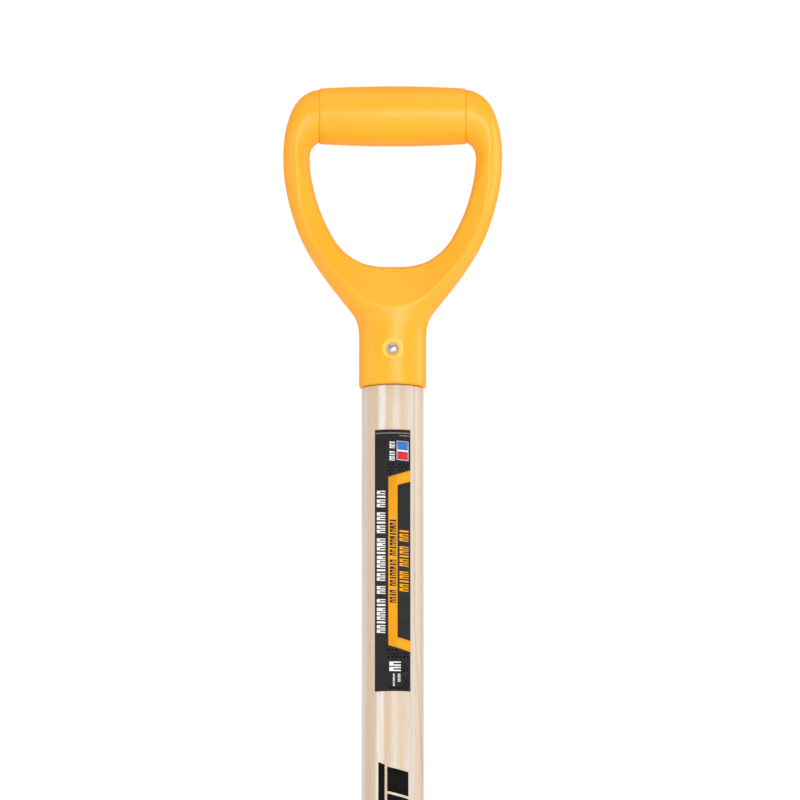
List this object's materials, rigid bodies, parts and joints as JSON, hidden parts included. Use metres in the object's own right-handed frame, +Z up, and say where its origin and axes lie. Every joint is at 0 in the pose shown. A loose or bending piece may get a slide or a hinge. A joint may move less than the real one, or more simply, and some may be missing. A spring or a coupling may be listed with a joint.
{
  "type": "grain scoop",
  "caption": "Long-handled scoop with a wide deep aluminium pan, a round wood shaft and a moulded D-grip, for shovelling light loose goods.",
  "frame": {"origin": "underside of the grip sleeve at its middle, on the shaft's axis, where a wall hook carries the tool", "axes": "+Z up along the shaft's axis towards the D-grip, +X to the right as the open side of the pan is seen, -Y towards the viewer, out of the pan"},
  "size_m": [0.368, 0.1447, 1.2244],
  "materials": {
    "yellow_plastic": "satin moulded",
    "wood": "clear lacquer over pale ash",
    "label_film": "printed film",
    "aluminium_sheet": "mill finish, drawn",
    "socket_alloy": "satin",
    "rivet_steel": "bright zinc"
  },
  "bodies": {
    "root": {"d_grip_frame": "yellow_plastic", "grip_sleeve": "yellow_plastic", "d_grip_rivet": "rivet_steel", "d_grip_rivet_burr": "rivet_steel", "shaft": "wood", "shaft_label": "label_film", "scoop_blade": "aluminium_sheet", "blade_socket": "socket_alloy", "blade_rivet_1": "rivet_steel", "blade_rivet_2": "rivet_steel", "blade_rivet_3": "rivet_steel", "blade_rivet_4": "rivet_steel", "blade_rivet_5": "rivet_steel", "blade_rivet_6": "rivet_steel", "socket_rivet_upper": "rivet_steel", "socket_rivet_upper_burr": "rivet_steel", "socket_rivet_lower": "rivet_steel", "socket_rivet_lower_burr": "rivet_steel"}
  },
  "joints": []
}
